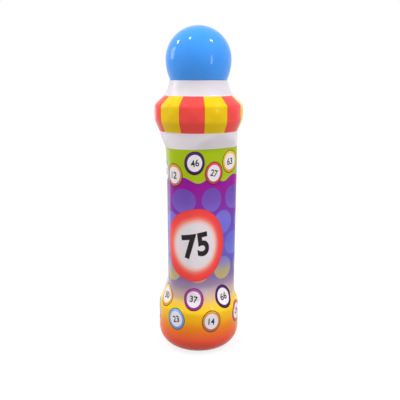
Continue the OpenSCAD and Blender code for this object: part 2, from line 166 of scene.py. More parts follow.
# %% [markdown]
# Each material below is one call of that recipe. A bottle is blown against a sand-blasted mould and
# comes out satin, the ball cap is injected into a polished one and mirrors the lamps, and foams and
# elastomers hardly shine. The bottle and the natural plastic let some light in, which looks milky.

# %% Moulded materials
milky = {"Subsurface Weight": 0.1, "Subsurface Scale": 1.5 * MM}

# high-density polyethylene, blow moulded: a milky white with a soft satin gloss
hdpe = moulded("hdpe_white_blow_moulded", ("#e2dae1", "#ddd6de"), 0.3, 5.0, 0.006, **milky)
# polypropylene, injection moulded in a polished mould: a bright, even blue that mirrors the lamps
blues = ("#3697ff", "#42a0ff")
low_shine = {"Specular IOR Level": 0.32}
blue_pp = moulded("polypropylene_blue_polished", blues, 0.14, 5.0, 0.001, **low_shine)
# polypropylene left in its natural colour, as hidden pieces are: a little milky, and satin
natural_pp = moulded("polypropylene_natural", ("#e9eaea", "#dee1e3"), 0.35, 0.8, 0.004, **milky)
# acetal, injection moulded: a hard, slippery white with a low sheen
acetal = moulded("acetal_white_moulded", ("#eeeeea", "#e4e4e0"), 0.4, 0.6, 0.003)
# thermoplastic elastomer, moulded: a grey seal that hardly shines
seal_tpe = moulded("elastomer_grey_moulded", ("#5b5f66", "#53565c"), 0.7, 0.5, 0.01)
# expanded polyethylene, cut from foam sheet: matt white with fine cells
liner_foam = moulded("expanded_polyethylene_cut", ("#e8e8e4", "#dcdcd6"), 0.75, 0.35, 0.03)
# spring steel, drawn into wire: bright, with fine marks
steels = ("#b9bcc0", "#a8acb1")
spring_wire = moulded("spring_steel_drawn", steels, 0.28, 0.25, 0.002, Metallic=1.0)
print("moulded materials:", len(bpy.data.materials))

# %% [markdown]
# The film's outline could be typed again from the construction, but would then miss its next change.
# So the script measures it: it casts a ray towards the axis for each direction and height, and keeps
# how far out the ray lands. The rounded corner above the foot has rows of its own, which lie closer
# together towards the foot.

# %% Measure the film
COLUMNS = 192
STEP = 0.7 * MM
FOOT_CORNER = 10 * MM
FOOT_ROWS = 16
FIRST_ROW_UP = 0.2 * MM
EDGE_IN = 0.01 * MM
REACH = 40 * MM


def outward(azimuth):
    """Unit vector away from the axis, for an azimuth in degrees from the front towards +X."""
    turn = math.radians(azimuth)
    return Vector((math.sin(turn), -math.cos(turn), 0))


def azimuth_of(point):
    """Direction of a point in degrees, from 0 up to 360, with the front at 0."""
    return math.degrees(math.atan2(point.x, -point.y)) % 360


def skin_of(node):
    """The faces of a construction node, ready to be met by rays."""
    mesh = nodes[node].data
    return BVHTree.FromPolygons([v.co for v in mesh.vertices], [p.vertices for p in mesh.polygons])


def radius_at(skin, azimuth, z):
    """How far from the axis a level ray meets the skin."""
    out = outward(azimuth)
    return skin.ray_cast(out * REACH + Vector((0, 0, z)), -out)[0].xy.length


film_low, film_high = (end.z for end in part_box("shrink_sleeve"))
corner = [FOOT_CORNER * (1 - math.cos(math.pi / 2 * k / FOOT_ROWS)) for k in range(FOOT_ROWS)]
corner = [z for z in corner if z > film_low + FIRST_ROW_UP]
straight = np.arange(FOOT_CORNER, film_high - STEP / 2, STEP)
film_z = np.array([film_low, *corner, *straight, film_high])
film_skin = skin_of("shrink_sleeve")
# a ray that is exactly level with an edge can miss it
ray_z = np.clip(film_z, film_low + EDGE_IN, film_high - EDGE_IN)
turns = [360 * c / COLUMNS for c in range(COLUMNS)]
film_r = np.array([[radius_at(film_skin, turn, z) for turn in turns] for z in ray_z])
print("film measured in", len(film_z), "rows of", COLUMNS)

# %% [markdown]
# The bottle was blown and then the film was shrunk on it, so both are smooth where the construction
# has straight strips. Averaging each row around the bottle, over the width of one strip, gives the
# rounded three-cornered grip. The collar keeps narrower averages, because its facets are real. One
# average up the bottle then softens the breaks between rows.

# %% Round off the strips
GRIP_BLUR = 7.5
COLLAR_BLUR = 3.8
COLLAR_TALL = 18 * MM

for row, z in enumerate(film_z):
    blur = COLLAR_BLUR if z > film_high - COLLAR_TALL else GRIP_BLUR
    reach = round(blur * COLUMNS / 360)
    film_r[row] = np.mean([np.roll(film_r[row], k) for k in range(-reach, reach + 1)], axis=0)
film_r[1:-1] = (film_r[:-2] + 2 * film_r[1:-1] + film_r[2:]) / 4
print("film radii:", round(film_r.min() / MM, 2), "to", round(film_r.max() / MM, 2), "mm")

# %% [markdown]
# A shrunk film draws faint upright ripples where it passes from a wide place to a narrow one, and
# its edges are lapped in a seam down the back. Both are only hundredths of a millimetre high, and
# both show, because the film is glossy. A bump map could draw them, but the measured radii are at
# hand, so those are moved.

# %% Film unevenness
RIPPLE = 0.04 * MM
RIPPLE_WIDE = 5 * MM
RIPPLE_TALL = 14 * MM
SEAM_HALF_DEG = 6.5
SEAM_STEP = 0.05 * MM

ripples_across = film_r.mean() / RIPPLE_WIDE
for row, z in enumerate(film_z):
    for column, turn in enumerate(turns):
        out = outward(turn) * ripples_across
        film_r[row, column] += RIPPLE * (noise.noise(Vector((*out.xy, z / RIPPLE_TALL))) - 0.5)
        if abs(turn - 180) < SEAM_HALF_DEG:
            film_r[row, column] += SEAM_STEP
print("ripple:", RIPPLE / MM, "mm, seam:", SEAM_STEP / MM, "mm")

# %% [markdown]
# The film, the bottle under it and the print on it follow one surface, so one function serves all
# three. From a direction, a height and a lift it gives a point in space, read between the measured
# rows and columns.


# %% Points on the film
def film_point(azimuth, z, lift=0.0):
    """A point on the film, between its measured rows and columns, lifted off it by lift."""
    at = (azimuth % 360) / 360 * COLUMNS
    left = int(at) % COLUMNS
    right = (left + 1) % COLUMNS
    share = at - int(at)
    low = min(max(int(np.searchsorted(film_z, z)) - 1, 0), len(film_z) - 2)
    rise = (z - film_z[low]) / (film_z[low + 1] - film_z[low])
    below = film_r[low, left] * (1 - share) + film_r[low, right] * share
    above = film_r[low + 1, left] * (1 - share) + film_r[low + 1, right] * share
    return outward(azimuth) * (below * (1 - rise) + above * rise + lift) + Vector((0, 0, z))


half_way = film_point(0, film_high / 2)
print("front, half way up:", round(half_way.xy.length / MM, 2), "mm from the axis")

# %% [markdown]
# Every piece ends the same way: the bmesh becomes an object, is shaded smooth with sharp breaks past
# a chosen angle, and is tied to the body that it moves with. Most pieces are turned, so one function
# spins an outline around the axis. Thin pieces start as a skin, and a Solidify modifier gives them
# their wall and leaves the outside exactly in place.

# %% Spinning and finishing
WELD = 1e-7
AXIS = {"axis": (0, 0, 1), "cent": (0, 0, 0)}
ROUND_STEPS = 3
ROUND_FROM_DEG = 60


def welded(bm):
    """Merge points that coincide, and turn every face outwards."""
    bmesh.ops.remove_doubles(bm, verts=bm.verts, dist=WELD)
    bmesh.ops.recalc_face_normals(bm, faces=bm.faces)
    return bm


def spun(profile, columns):
    """Turn an outline of (radius, height) pairs once around the axis, as one welded skin."""
    bm = bmesh.new()
    line = [bm.verts.new((0, -r, z)) for r, z in profile]
    edges = [bm.edges.new(pair) for pair in zip(line, line[1:])]
    whole = {"angle": math.tau, "steps": columns, "use_merge": True}
    bmesh.ops.spin(bm, geom=line + edges, **AXIS, **whole)
    return welded(bm)


def from_bmesh(name, bm, material):
    """Make a bmesh an object of one material, in the scene."""
    mesh = bpy.data.meshes.new(name)
    bm.to_mesh(mesh)
    bm.free()
    made = bpy.data.objects.new(name, mesh)
    bpy.context.scene.collection.objects.link(made)
    mesh.materials.append(material)
    return made


def finish_piece(name, bm, material, body, stands_for=(), sharp=35):
    """Make a bmesh a smooth piece that rides on a body."""
    made = from_bmesh(name, bm, material)
    mesh = made.data
    mesh.shade_smooth()
    mesh.set_sharp_from_angle(angle=math.radians(sharp))
    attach(made, body)
    if stands_for:
        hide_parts(*stands_for)
    print(name, "faces:", len(mesh.polygons))
    return made


def wall(piece, thickness, rounded=0.0):
    """Give a skin its wall on the inside, and round the wall's edges if asked."""
    solid = piece.modifiers.new("wall", "SOLIDIFY")
    solid.thickness = thickness
    solid.offset = -1
    if rounded:
        edge = piece.modifiers.new("edge", "BEVEL")
        edge.width = rounded
        edge.segments = ROUND_STEPS
        edge.limit_method = "ANGLE"
        edge.angle_limit = math.radians(ROUND_FROM_DEG)


print("welding distance:", WELD)

# %% [markdown]
# The film starts as a plain tube with one ring of points for each measured height. Each point is
# then moved to its measured radius, as heat draws the real film in until it meets the bottle.
# A UV map records where on the flat label each face lies: across is the turn around the bottle, with
# the front in the middle and the seam at both ends, and up is the height. Heat draws one side of a
# film more than the other, so the turn is shifted by up to three degrees.

# %% Film
LABEL_R = 18.8 * MM
DRAWN_DEG = 3.0
DRAWN_FROM = -8.4
label_wide = math.tau * LABEL_R / MM

film = spun([(LABEL_R, z) for z in film_z], COLUMNS)
for vert in film.verts:
    vert.co = film_point(azimuth_of(vert.co), vert.co.z)
uv = film.loops.layers.uv.new("label")
for face in film.faces:
    middle = (azimuth_of(face.calc_center_median()) + 180) % 360
    for loop in face.loops:
        turn = (azimuth_of(loop.vert.co) + 180) % 360
        turn += 360 * round((middle - turn) / 360)
        drawn = turn - DRAWN_DEG * math.sin(math.radians(turn - 180 - DRAWN_FROM))
        loop[uv].uv = (drawn / 360, (loop.vert.co.z - film_low) / (film_high - film_low))
bmesh.ops.recalc_face_normals(film, faces=film.faces)
print("label:", round(label_wide, 1), "mm around")

# %% [markdown]
# The print is drawn by nodes in real millimetres on the flat label, as the printer's plate is before
# the film shrinks. The UV map runs from 0 to 1, so three Map Range nodes turn it into degrees from
# the front, millimetres across and millimetres up. Heat draws the film in around the bottle and not
# along it, so the disc, the counters and the numbers end up narrower by an eighth.

# %% Print coordinates
SQUEEZE = 0.87
tall = film_high / MM
half = label_wide / 2

# shrink film, printed from behind: full flat inks under a clear, very glossy skin
printed, tree = new_material("shrink_film_gloss_printed")
label = add(tree, "UVMap", {"uv_map": "label"})
split = add(tree, "SeparateXYZ", None, {0: label}).node
degrees = add(tree, "MapRange", {"clamp": False}, {0: split.outputs[0], 3: -180.0, 4: 180.0})
across = add(tree, "MapRange", {"clamp": False}, {0: split.outputs[0], 3: -half, 4: half})
up = add(tree, "MapRange", {"clamp": False}, {0: split.outputs[1], 3: film_low / MM, 4: tall})
up_share = add(tree, "Math", {"operation": "DIVIDE"}, {0: up, 1: tall})
flat_place = add(tree, "CombineXYZ", None, {0: across, 1: up})
print("label coordinates:", round(2 * half, 1), "by", round(tall, 1), "mm")

# %% [markdown]
# The ground runs from red at the foot through orange and yellow to mauve and blue-violet, and ends in
# magenta. A press makes such a blend with two or three inks that fade into each other. One colour
# ramp over the height does the same. Its stops are heights in millimetres.

# %% Print ground
GROUND = [
    (0, "#fa4e40"), (8, "#fa583e"), (12, "#f4722a"), (16, "#f69016"),
    (19.5, "#ffb80a"), (24, "#ffcf20"), (27, "#fccc3c"), (30, "#e8c088"),
    (33, "#ccb0ac"), (36.5, "#a68ea8"), (41, "#8672ac"), (48, "#6e5ebe"),
    (65, "#6a52c2"), (73, "#7a3cb2"), (79, "#8e269f"), (88, "#9a0c98"),
]
ground = add(tree, "ValToRGB", None, {0: up_share}, [(z / tall, code) for z, code in GROUND])
print("ground stops:", len(GROUND))

# %% [markdown]
# The spots stand in two nested lattices, so each row is offset by half a step from the one below.
# Wrapping the place into one cell of a lattice and taking its length gives the distance to that
# cell's middle. The nearer of the two middles is the spot's own. Their tint follows the height, as
# the ground's does, and two cuts end the rows above and below.

# %% Print spots
SPOT_STEPS = 8
SPOT_LOW = 45.0
SPOT_RISE = 12.0
SPOT_R = 6.3
SPOT_EDGE = 0.6
SPOT_ROWS = 4
SPOT_STRENGTH = 0.85
ROW_CUT = 0.1
SPOT_TINTS = [
    (38, "#d2be66"), (43, "#c4b470"), (47.5, "#9496be"), (51, "#7a80d6"),
    (60, "#6d71d6"), (72, "#8078e2"), (80, "#765abf"), (88, "#6b4db5"),
]
step = label_wide / SPOT_STEPS
cell = (step / 2, SPOT_RISE, 1.0)
far = []
for shift in ((0.0, SPOT_LOW, 0.0), (step / 2, SPOT_LOW + SPOT_RISE, 0.0)):
    moved = add(tree, "VectorMath", {"operation": "SUBTRACT"}, {0: flat_place, 1: shift})
    one_cell = {0: moved, 1: cell, 2: [-side for side in cell]}
    wrapped = add(tree, "VectorMath", {"operation": "WRAP"}, one_cell)
    far.append(add(tree, "VectorMath", {"operation": "LENGTH"}, {0: wrapped}))
nearest = add(tree, "Math", {"operation": "MINIMUM"}, {0: far[0], 1: far[1]})
soft_step = {"interpolation_type": "SMOOTHSTEP"}
fade_out = {0: nearest, 1: SPOT_R - SPOT_EDGE, 2: SPOT_R, 3: SPOT_STRENGTH, 4: 0.0}
in_spot = add(tree, "MapRange", soft_step, fade_out)

spot_top = SPOT_LOW + SPOT_RISE * (SPOT_ROWS - 0.5)
spot_foot = SPOT_LOW - SPOT_RISE / 2
top_cut = {0: up, 1: spot_top, 2: spot_top + ROW_CUT, 3: 1.0, 4: 0.0}
below_top = add(tree, "MapRange", None, top_cut)
above_foot = add(tree, "MapRange", None, {0: up, 1: spot_foot, 2: spot_foot + ROW_CUT})
spot_rows = add(tree, "Math", {"operation": "MULTIPLY"}, {0: below_top, 1: above_foot})
spots = add(tree, "Math", {"operation": "MULTIPLY"}, {0: in_spot, 1: spot_rows})
tint_stops = [(z / tall, code) for z, code in SPOT_TINTS]
spot_colour = add(tree, "ValToRGB", None, {0: up_share}, tint_stops)
inked = add(tree, "Mix", RGBA, {0: spots, 6: ground, 7: spot_colour})
print("spot step:", round(step, 2), "mm")

# %% [markdown]
# A large ringed disc sits on the front and again on the back. It is drawn as the spots are, but the
# label wraps at half its width, so one disc gives both. Its place is widened across before the length
# is taken, which narrows the disc as the shrunk film does. A ramp over the share of its radius gives
# the white field, the soft inner edge of the red ring and its dark outline.

# %% Print disc
DISC_AZIMUTH = -3.5
DISC_Z = 58.4
DISC_R = 18.8
DISC_SOFT_FROM = 0.99
NO_WRAP = 1000.0
DISC_TINTS = [
    (0, "#efe6ec"), (0.58, "#efe4ea"), (0.65, "#fac8c0"), (0.73, "#fd8273"),
    (0.81, "#fc524d"), (0.975, "#fa4340"), (1, "#c93744"),
]
disc_place = (label_wide * DISC_AZIMUTH / 360, DISC_Z, 0.0)
moved = add(tree, "VectorMath", {"operation": "SUBTRACT"}, {0: flat_place, 1: disc_place})
disc_cell = (half / 2, NO_WRAP, 1.0)
one_cell = {0: moved, 1: disc_cell, 2: [-side for side in disc_cell]}
wrapped = add(tree, "VectorMath", {"operation": "WRAP"}, one_cell)
widened = {0: wrapped, 1: (1 / SQUEEZE, 1.0, 1.0)}
round_again = add(tree, "VectorMath", {"operation": "MULTIPLY"}, widened)
disc_far = add(tree, "VectorMath", {"operation": "LENGTH"}, {0: round_again})
disc_share = add(tree, "Math", {"operation": "DIVIDE"}, {0: disc_far, 1: DISC_R})
disc_colour = add(tree, "ValToRGB", None, {0: disc_share}, DISC_TINTS)
disc_edge = {0: disc_share, 1: DISC_SOFT_FROM, 2: 1.0, 3: 1.0, 4: 0.0}
in_disc = add(tree, "MapRange", soft_step, disc_edge)
inked = add(tree, "Mix", RGBA, {0: in_disc, 6: inked, 7: disc_colour})
print("disc:", 2 * DISC_R, "mm across")

# %% [markdown]
# Above the spots come a green band and a white one. The green one's lower edge is scalloped, with one
# wave to each step of the spots, so a cosine of the place across is added to the height at which it
# starts. Each band is laid over what is already inked, as a later plate prints over an earlier one.

# %% Print bands
BAND_Z = 106.0
SCALLOP_Z = 91.0
SCALLOP_HIGH = 1.5
INK_EDGE = 0.3
GREEN_INK = "#adc40f"
WHITE_INK = "#ece4ea"

wave_place = add(tree, "Math", {"operation": "MULTIPLY"}, {0: across, 1: math.tau / step})
wave = add(tree, "Math", {"operation": "COSINE"}, {0: wave_place})
wave_height = {0: wave, 1: -SCALLOP_HIGH, 2: SCALLOP_Z}
scallop = add(tree, "Math", {"operation": "MULTIPLY_ADD"}, wave_height)
above = add(tree, "Math", {"operation": "SUBTRACT"}, {0: up, 1: scallop})
in_green = add(tree, "MapRange", soft_step, {0: above, 1: 0.0, 2: INK_EDGE})
inked = add(tree, "Mix", RGBA, {0: in_green, 6: inked, 7: linear(GREEN_INK)})
in_white = add(tree, "MapRange", soft_step, {0: up, 1: BAND_Z, 2: BAND_Z + INK_EDGE})
inked = add(tree, "Mix", RGBA, {0: in_white, 6: inked, 7: linear(WHITE_INK)})
print("green from", SCALLOP_Z, "to", BAND_Z, "mm")

# %% [markdown]
# The collar carries six red and six yellow stripes. Wrapping the degrees at one pair of stripes gives
# a share of a pair, and one ramp colours it, with a thin orange line where the two inks overlap.

# %% Print stripes
STRIPE_DEG = 30.0
RED_FROM = -23.4
COLLAR_Z = 113.7
OVERLAP, RED, YELLOW = "#d9541c", "#fb4f4a", "#f4ca10"
STRIPE_TINTS = [
    (0, OVERLAP), (0.014, RED), (0.49, RED), (0.5, OVERLAP),
    (0.514, YELLOW), (0.986, YELLOW), (1, OVERLAP),
]
from_red = add(tree, "Math", {"operation": "SUBTRACT"}, {0: degrees, 1: RED_FROM})
in_pair = add(tree, "Math", {"operation": "WRAP"}, {0: from_red, 1: 2 * STRIPE_DEG, 2: 0.0})
pair_share = add(tree, "Math", {"operation": "DIVIDE"}, {0: in_pair, 1: 2 * STRIPE_DEG})
stripes = add(tree, "ValToRGB", None, {0: pair_share}, STRIPE_TINTS)
in_collar = add(tree, "MapRange", soft_step, {0: up, 1: COLLAR_Z, 2: COLLAR_Z + INK_EDGE})
inked = add(tree, "Mix", RGBA, {0: in_collar, 6: inked, 7: stripes})
print("stripes:", round(360 / STRIPE_DEG))

# %% [markdown]
# Over the inks lies the clear film itself, PETG that was calendered smooth and then shrunk by steam.
# It is very glossy, with a fine orange peel from the heat, and a few faint scuffs where bottles rub
# together in the box change its gloss and nothing else. A clear coat over a matt base would mirror
# the white studio twice and wash out the inks. So there is one surface, with the inks as its colour
# and the film as its gloss and bump, and its reflection is kept low. Peel and scuffs are drawn
# coarser than real ones, which wouldn't show.

# %% Film finish
PEEL = 0.9 * MM
PEEL_DEEP = 0.005 * MM
SCUFF = 5.0 * MM
SCUFF_STRETCH = 0.35
SCUFF_FROM, SCUFF_TO = 0.4, 0.75
CLEAN, SCUFFED = 0.1, 0.2
FILM_THICK = 0.1 * MM
film_shine = {"IOR": PLASTIC_IOR, "Specular IOR Level": 0.12}

place = add(tree, "TexCoord").node.outputs["Object"]
peel = add(tree, "TexNoise", None, {"Vector": place, "Scale": 1 / PEEL, "Detail": 2.0})
stretched = add(tree, "Mapping", None, {"Vector": place, "Scale": (1.0, 1.0, SCUFF_STRETCH)})
scuffs = add(tree, "TexNoise", None, {"Vector": stretched, "Scale": 1 / SCUFF, "Detail": 6.0})
scuffed = {0: scuffs, 1: SCUFF_FROM, 2: SCUFF_TO, 3: CLEAN, 4: SCUFFED}
film_gloss = add(tree, "MapRange", None, scuffed)
film_bump = add(tree, "Bump", None, {"Height": peel, "Distance": PEEL_DEEP})
surface = {"Base Color": inked, "Roughness": film_gloss, "Normal": film_bump, **film_shine}
shader = add(tree, "BsdfPrincipled", None, surface)
add(tree, "OutputMaterial", None, {"Surface": shader})

sleeve = finish_piece("printed_sleeve", film, printed, "bottle", ["shrink_sleeve"], 60)
wall(sleeve, FILM_THICK)

# %% [markdown]
# The numbered counters are spots of ink on the film. Nodes could draw discs, but not numbers, so the
# counters are made as thin pieces instead. Every face corner carries its ink as a colour, and one
# material shows it. It shines as the film does, because on the real label the film lies over the ink.

# %% Printing ink
INK_GRAIN = 2.5 * MM
THIN, FULL = 0.95, 1.0
BRIGHT, DULL = 0.13, 0.2

# gravure ink under film: an even tone that varies by a few percent, as glossy as the film
printing_ink, tree = new_material("gravure_ink_under_film")
tone = add(tree, "VertexColor", {"layer_name": "ink"})
place = add(tree, "TexCoord").node.outputs["Object"]
grain = add(tree, "TexNoise", None, {"Vector": place, "Scale": 1 / INK_GRAIN})
deep = add(tree, "MapRange", None, {0: grain, 3: THIN, 4: FULL})
multiply = {**RGBA, "blend_type": "MULTIPLY"}
toned = add(tree, "Mix", multiply, {0: 1.0, 6: tone, 7: deep})
ink_gloss = add(tree, "MapRange", None, {0: grain, 3: BRIGHT, 4: DULL})
surface = {"Base Color": toned, "Roughness": ink_gloss, **film_shine}
shader = add(tree, "BsdfPrincipled", None, surface)
add(tree, "OutputMaterial", None, {"Surface": shader})
print("ink material:", printing_ink.name)

# %% [markdown]
# Each counter is made flat first, in millimetres, as a disc spun from a line of points, so that its
# white field, its coloured ring and its outline are rows of faces. The ring is lighter at the top,
# which makes it look rounded. The field has rows enough to bend with the bottle: with fewer, the film
# would poke through its flat faces.

# %% Flat counter
COUNTER_R = 5.75
COUNTER_COLUMNS = 48
FIELD_ROWS = 8
FIELD_SHARE = 0.72
OUTLINE = 0.36
OUTLINE_INK = "#24121c"
FIELD_INK = "#f4edf3"


def flat_counter(light, dark):
    """A disc in millimetres, its ring shaded from a light ink at the top to a dark one."""
    field = COUNTER_R * FIELD_SHARE
    rim = COUNTER_R - OUTLINE
    radii = [*np.linspace(0, field, FIELD_ROWS), (field + rim) / 2, rim, COUNTER_R]
    bm = spun([(r, 0) for r in radii], COUNTER_COLUMNS)
    ink = bm.loops.layers.float_color.new("ink")
    for face in bm.faces:
        far_out = face.calc_center_median().xy.length
        for loop in face.loops:
            high = 0.5 + loop.vert.co.y / COUNTER_R / 2
            shade = [d + (l - d) * high for l, d in zip(linear(light), linear(dark))]
            loop[ink] = shade if far_out > field else linear(FIELD_INK)
            if far_out > rim:
                loop[ink] = linear(OUTLINE_INK)
    return bm


print("counter:", 2 * COUNTER_R, "mm across")

# %% [markdown]
# A number starts as a text curve, because Blender's own font saves drawing each figure. The curve
# becomes a mesh, is scaled to the height asked for, and is cut by upright and level planes into cells
# of a millimetre, so that its long flat faces can bend around the bottle too.

# %% Flat number
NUMBER_INK = "#2a2226"
NUMBER_CELL = 1.0


def flat_number(text, high, weight):
    """A number as flat faces, high millimetres tall, cut into small cells."""
    curve = bpy.data.curves.new("number", "FONT")
    curve.body = text
    curve.offset = weight
    written = bpy.data.objects.new("number", curve)
    mesh = bpy.data.meshes.new_from_object(written)
    bm = bmesh.new()
    bm.from_mesh(mesh)
    bpy.data.objects.remove(written)
    bpy.data.curves.remove(curve)
    bpy.data.meshes.remove(mesh)
    low = Vector((min(v.co.x for v in bm.verts), min(v.co.y for v in bm.verts), 0))
    top = Vector((max(v.co.x for v in bm.verts), max(v.co.y for v in bm.verts), 0))
    scale = high / (top.y - low.y)
    bmesh.ops.translate(bm, verts=bm.verts, vec=-(low + top) / 2)
    bmesh.ops.scale(bm, verts=bm.verts, vec=(scale, scale, 1))
    for axis in (Vector((1, 0, 0)), Vector((0, 1, 0))):
        cells = math.ceil((top - low).dot(axis) * scale / 2 / NUMBER_CELL)
        for k in range(-cells, cells + 1):
            geom = bm.verts[:] + bm.edges[:] + bm.faces[:]
            bmesh.ops.bisect_plane(bm, geom=geom, plane_co=axis * k * NUMBER_CELL, plane_no=axis)
    ink = bm.loops.layers.float_color.new("ink")
    for face in bm.faces:
        for loop in face.loops:
            loop[ink] = linear(NUMBER_INK)
    return bm


print("number cells:", NUMBER_CELL, "mm")

# %% [markdown]
# A flat print is laid on the bottle by the function that shaped the film, hundredths of a millimetre
# above it. Its width is squeezed as the film squeezes the disc, and its faces are turned outwards. A
# number stands a little higher than its counter, or the two would flicker through each other.

# %% Laying prints on the film
LIFT_DISC = 0.03 * MM
LIFT_NUMBER = 0.05 * MM


def laid(flat, azimuth, z, tilt, lift):
    """Tilt a flat print, lay it on the film at a place, and return it as a mesh."""
    turned = Matrix.Rotation(math.radians(tilt), 3, "Z")
    bmesh.ops.rotate(flat, verts=flat.verts, cent=(0, 0, 0), matrix=turned)
    around = film_point(azimuth, z).xy.length
    for vert in flat.verts:
        turn = math.degrees(vert.co.x * SQUEEZE * MM / around)
        vert.co = film_point(azimuth + turn, z + vert.co.y * MM, lift)
    flat.normal_update()
    backward = [face for face in flat.faces if face.normal.dot(outward(azimuth)) < 0]
    bmesh.ops.reverse_faces(flat, faces=backward)
    mesh = bpy.data.meshes.new("print")
    flat.to_mesh(mesh)
    flat.free()
    return mesh


def print_piece(name, meshes):
    """Join laid prints into one piece that rides with the bottle."""
    bm = bmesh.new()
    for mesh in meshes:
        bm.from_mesh(mesh)
        bpy.data.meshes.remove(mesh)
    return finish_piece(name, bm, printing_ink, "bottle", sharp=60)


print("lifts:", LIFT_DISC / MM, "and", LIFT_NUMBER / MM, "mm")

# %% [markdown]
# The counters run in two rings, one in the green band and one around the base. Each ring steps up
# and down and drifts a little, and tilts and ring colours follow short lists, so that no two
# neighbours look alike. Lists are used and not chance, because a label is the same on every bottle.

# %% Counters
RIMS = [
    ("#f0a93a", "#c0665c"),
    ("#5d2a70", "#431b50"),
    ("#f0525a", "#bf4650"),
    ("#fbd23a", "#e79f1e"),
    ("#8cc0fa", "#5f9df0"),
    ("#c14fae", "#8f2f8c"),
]
TILTS = (-4, 8, -14, 5, 12, -7)
NUMBER_HIGH = 3.4
NUMBER_WEIGHT = 0.02
DRIFT_UP = 0.4
# of each ring: numbers, height, two steps, where it starts, and how far its lists are shifted
RINGS = {
    "counters_upper": ("12 46 27 63 34 58 19 71 40 5 68".split(), 96.6, (-3.2, 2.6), -38, 0),
    "counters_lower": ("50 23 37 14 66 29 42 61 8 53 17 70 31 59".split(), 24.2, (5.6, -5), -59, 3),
}
for name, (numbers, ring_z, steps_up, start, first) in RINGS.items():
    prints = []
    for i, text in enumerate(numbers):
        azimuth = start + 360 * i / len(numbers)
        z = (ring_z + steps_up[i % 2] + DRIFT_UP * (i % 3)) * MM
        tilt = TILTS[(i + first) % len(TILTS)]
        counter = flat_counter(*RIMS[(i + first) % len(RIMS)])
        prints.append(laid(counter, azimuth, z, tilt, LIFT_DISC))
        number = flat_number(text, NUMBER_HIGH, NUMBER_WEIGHT)
        prints.append(laid(number, azimuth, z, tilt, LIFT_NUMBER))
    print_piece(name, prints)

# %% [markdown]
# The big number on the ringed disc, and its twin on the back, are made in the same way: a plain 75,
# the highest number in the game, slightly tilted.

# %% Big numbers
BIG_HIGH = 12.5
BIG_WEIGHT = 0.035
BIG_TILT = 7

prints = []
for azimuth in (DISC_AZIMUTH, DISC_AZIMUTH + 180):
    number = flat_number("75", BIG_HIGH, BIG_WEIGHT)
    prints.append(laid(number, azimuth, DISC_Z * MM, BIG_TILT, LIFT_DISC))
print_piece("big_numbers", prints)

# %% [markdown]
# The bottle is blown in one piece, so its outside is one skin from the middle of the foot, up under
# the film, over the shoulder and up the neck. Under the film it follows the measured film, a little
# smaller: those points are spun at the label's radius first, which marks them, and then moved. A
# Solidify modifier gives it the even wall of a blow-moulded bottle, and the neck's hole stays open.

# %% Bottle body
BOTTLE_COLUMNS = 128
BOTTLE_WALL = 1.2 * MM
FILM_BED = 0.16 * MM
ON_LABEL = LABEL_R - 0.1 * MM
PUSHUP = [(0, 2.5), (4, 2.5), (7.4, 2.5), (8.2, 2.3), (8.7, 1.8), (10.2, 0), (12.4, 0)]
BARE_FOOT = (0.25, 0.5, 0.8, 1.08)
SHOULDER_ROWS = 12
SHOULDER_FROM = 0.15 * MM
NECK_EDGE = 0.25 * MM
LEDGE_EDGE = 0.15 * MM
LEDGE_IN = 1 * MM
NECK_PROBE = 0.5 * MM
LEDGE_PROBE = 2 * MM

bottle_skin = skin_of("bottle")
neck_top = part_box("bottle")[1].z
neck_r = radius_at(bottle_skin, 0, neck_top - NECK_PROBE)
over_ledge = Vector((0, -neck_r - LEDGE_PROBE, neck_top))
shoulder_top = bottle_skin.ray_cast(over_ledge, Vector((0, 0, -1)))[0].z

outline = [(r * MM, z * MM) for r, z in PUSHUP]
outline += [(radius_at(bottle_skin, 0, z * MM), z * MM) for z in BARE_FOOT]
outline += [(LABEL_R, z) for z in film_z[1:-1:2]]
for z in np.linspace(film_high + SHOULDER_FROM, shoulder_top - LEDGE_EDGE, SHOULDER_ROWS):
    outline.append((radius_at(bottle_skin, 0, z), z))
ledge_r = outline[-1][0]
outline += [(ledge_r - LEDGE_EDGE / 3, shoulder_top), (ledge_r - LEDGE_IN, shoulder_top)]
outline += [(neck_r, shoulder_top), (neck_r, neck_top - NECK_EDGE), (neck_r - NECK_EDGE, neck_top)]
body = spun(outline, BOTTLE_COLUMNS)
for vert in body.verts:
    if vert.co.xy.length > ON_LABEL and vert.co.z < film_high:
        vert.co = film_point(azimuth_of(vert.co), vert.co.z, -FILM_BED)
bottle = finish_piece("bottle_body", body, hdpe, "bottle", ["bottle"])
wall(bottle, BOTTLE_WALL)
print("neck radius:", round(neck_r / MM, 2), "mm")

# %% [markdown]
# Two threads start half a turn apart on the neck. Each is one section of a thread, spun as a screw:
# the spin operator turns it and lifts it at the same time. The ends taper into the neck, as a mould
# cuts them. They are closed solids of their own, so that the bottle's wall stays a plain skin.

# %% Neck threads
THREAD_LEAD = 7 * MM
THREAD_TURN = 0.85
THREAD_DEEP = 0.3 * MM
THREAD_HIGH = 0.9 * MM
THREAD_ROOT = 0.8 * MM
THREAD_CREST = 0.35 * MM
THREAD_STEPS = 72
THREAD_TAPER = 0.1
THREAD_TIP = 0.02
THREAD_UP = 2.2 * MM
# keeps a point at the very start from reading as a whole turn
START_SLACK_DEG = 0.01

